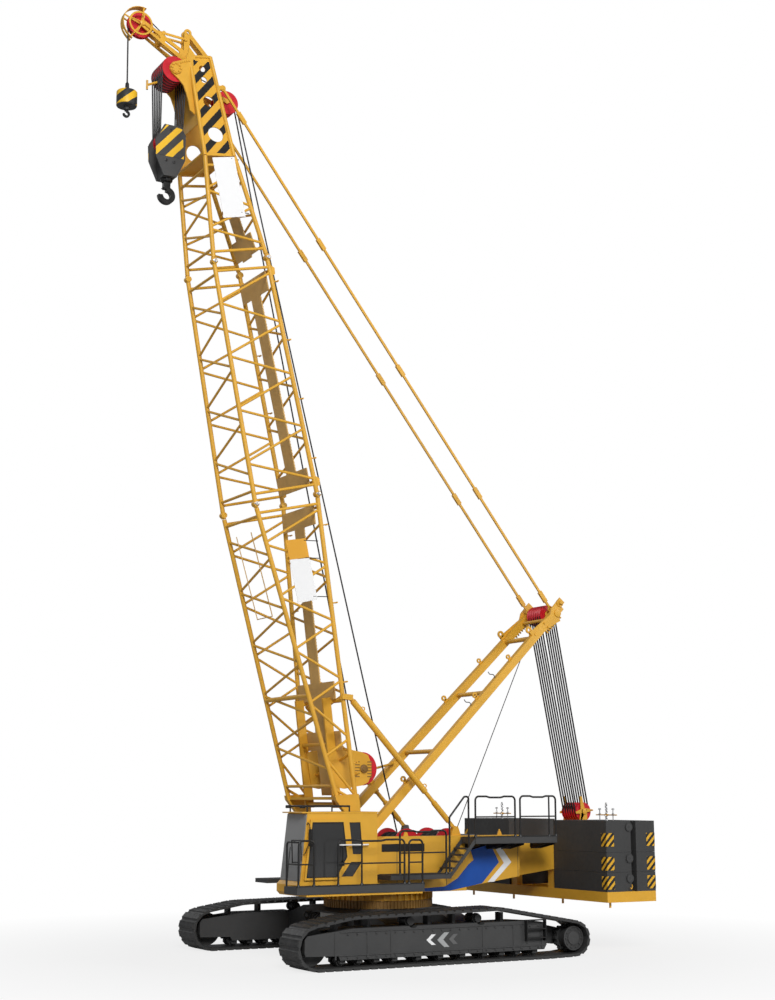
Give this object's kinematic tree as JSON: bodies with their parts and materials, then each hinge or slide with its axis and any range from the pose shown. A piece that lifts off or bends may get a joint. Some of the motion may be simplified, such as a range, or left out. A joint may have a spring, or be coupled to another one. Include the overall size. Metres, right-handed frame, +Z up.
{
  "type": "crawler crane",
  "caption": "Crawler crane with a latticed boom, rear mast with pendants, slewing upper works with cab and counterweight, and two tracked side frames.",
  "frame": {"origin": "on the ground under the slewing axis", "axes": "+X forwards to the boom, +Y to the machine's left (cab side), +Z up"},
  "size_m": [13.6249, 6.65, 23.0099],
  "materials": {
    "black_paint": "satin",
    "black_rubber": "matte",
    "cab_glass": "gloss",
    "dark_grey_paint": "satin",
    "machine_yellow": "satin",
    "red_paint": "satin",
    "silver_paint": "satin",
    "track_steel": "matte",
    "walkway_brown": "satin"
  },
  "bodies": {
    "undercarriage": {"left_track": "track_steel", "right_track": "track_steel", "track_frames": "dark_grey_paint", "idlers": "track_steel", "sprockets": "track_steel", "track_rollers": "track_steel", "track_steps": "black_paint", "carbody": "dark_grey_paint", "cross_beams": "dark_grey_paint", "slewing_ring_lower": "machine_yellow"},
    "front_winch": {"front_drum": "red_paint"},
    "rear_winch": {"rear_drum": "red_paint"},
    "boom_winch": {"boom_drum": "red_paint"},
    "cab_sliding_door": {"cab_door": "machine_yellow", "cab_door_glass": "cab_glass"},
    "boom": {"boom_base_section": "machine_yellow", "boom_insert_section": "machine_yellow", "boom_top_section": "machine_yellow", "boom_winch_frame": "machine_yellow", "boom_head": "machine_yellow", "guide_sheaves": "red_paint", "aux_jib": "machine_yellow", "boom_walkways": "walkway_brown"},
    "head_sheave_set": {"head_sheaves": "red_paint"},
    "aux_sheave_wheel": {"aux_sheave": "red_paint"},
    "main_hook_block": {"hook_block": "dark_grey_paint", "hook_block_sheaves": "red_paint", "main_hook": "black_paint"},
    "aux_hook_ball": {"aux_hook_weight": "black_paint", "aux_hook": "black_paint"},
    "mast_frame": {"mast": "machine_yellow", "mast_sheaves": "red_paint"},
    "pendant_pair": {"pendants": "machine_yellow"},
    "backstop_tube_pair": {"backstop_tubes": "machine_yellow"},
    "backstop_rod_pair": {"backstop_rods": "machine_yellow"},
    "superstructure": {"ballast_lifting_posts": "silver_paint", "cab_base": "machine_yellow", "cab_catwalk": "dark_grey_paint", "cab_glass": "cab_glass", "cab_seat": "black_rubber", "cab_shell": "machine_yellow", "counterweight_lower": "dark_grey_paint", "counterweight_middle": "dark_grey_paint", "counterweight_tray": "machine_yellow", "counterweight_upper": "dark_grey_paint", "deck_winch_stands": "machine_yellow", "engine_block": "dark_grey_paint", "engine_housing": "machine_yellow", "handrails": "black_paint", "left_housing": "machine_yellow", "lower_block_bracket": "machine_yellow", "lower_block_sheaves": "red_paint", "slewing_ring_upper": "machine_yellow", "turntable_frame": "machine_yellow", "walkways": "dark_grey_paint", "winch_deck": "dark_grey_paint"}
  },
  "joints": [
    {"name": "slew", "type": "hinge", "parent": "undercarriage", "child": "superstructure", "pos_m": [0, 0, 1.3], "axis": [0, 0, 1], "continuous": true},
    {"name": "boom_luff", "type": "hinge", "parent": "superstructure", "child": "boom", "pos_m": [1.37, 0, 2.72], "axis": [0, 1, 0], "range_deg": [-3, 47]},
    {"name": "mast_swing", "type": "hinge", "parent": "superstructure", "child": "mast_frame", "pos_m": [0.95, 0, 2.72], "axis": [0, 1, 0], "range_deg": [-3.3, 48.5]},
    {"name": "pendant_swing", "type": "hinge", "parent": "boom", "child": "pendant_pair", "pos_m": [4.77, 0, 21.15], "axis": [0, 1, 0], "range_deg": [-1.3, 0.3]},
    {"name": "hook_block_hang", "type": "hinge", "parent": "boom", "child": "main_hook_block", "pos_m": [6, 0, 21.43], "axis": [0, 1, 0], "range_deg": [-48, 4]},
    {"name": "hook_ball_hang", "type": "hinge", "parent": "boom", "child": "aux_hook_ball", "pos_m": [6.81, 0, 22.54], "axis": [0, 1, 0], "range_deg": [-48, 4]},
    {"name": "backstop_swing", "type": "hinge", "parent": "boom", "child": "backstop_tube_pair", "pos_m": [1.455, 0, 6.07], "axis": [0, 1, 0], "range_deg": [-21, 1.8]},
    {"name": "backstop_slide", "type": "slide", "parent": "backstop_tube_pair", "child": "backstop_rod_pair", "axis": [-0.6863, 0, -0.7273], "range_m": [-0.11, 1.55]},
    {"name": "front_drum_spin", "type": "hinge", "parent": "superstructure", "child": "front_winch", "pos_m": [-0.54, 0, 2.62], "axis": [0, 1, 0], "continuous": true},
    {"name": "rear_drum_spin", "type": "hinge", "parent": "superstructure", "child": "rear_winch", "pos_m": [-1.7, 0, 2.62], "axis": [0, 1, 0], "continuous": true},
    {"name": "boom_drum_spin", "type": "hinge", "parent": "boom", "child": "boom_winch", "pos_m": [0.79, 0, 4.4], "axis": [0, 1, 0], "continuous": true},
    {"name": "head_sheave_spin", "type": "hinge", "parent": "boom", "child": "head_sheave_set", "pos_m": [6, 0, 21.43], "axis": [0, 1, 0], "continuous": true},
    {"name": "aux_sheave_spin", "type": "hinge", "parent": "boom", "child": "aux_sheave_wheel", "pos_m": [6.81, 0, 22.54], "axis": [0, 1, 0], "continuous": true},
    {"name": "cab_door_slide", "type": "slide", "parent": "superstructure", "child": "cab_sliding_door", "axis": [-1, 0, 0], "range_m": [0, 0.72]}
  ],
  "couplings": [
    {"joint": "mast_swing", "follows": "boom_luff", "ratio": 1.0271},
    {"joint": "pendant_swing", "follows": "boom_luff", "ratio": -0.0236},
    {"joint": "hook_block_hang", "follows": "boom_luff", "ratio": -1},
    {"joint": "hook_ball_hang", "follows": "boom_luff", "ratio": -1},
    {"joint": "backstop_swing", "follows": "boom_luff", "ratio": -0.43679},
    {"joint": "backstop_slide", "follows": "boom_luff", "m_per_rad": 1.8392}
  ]
}
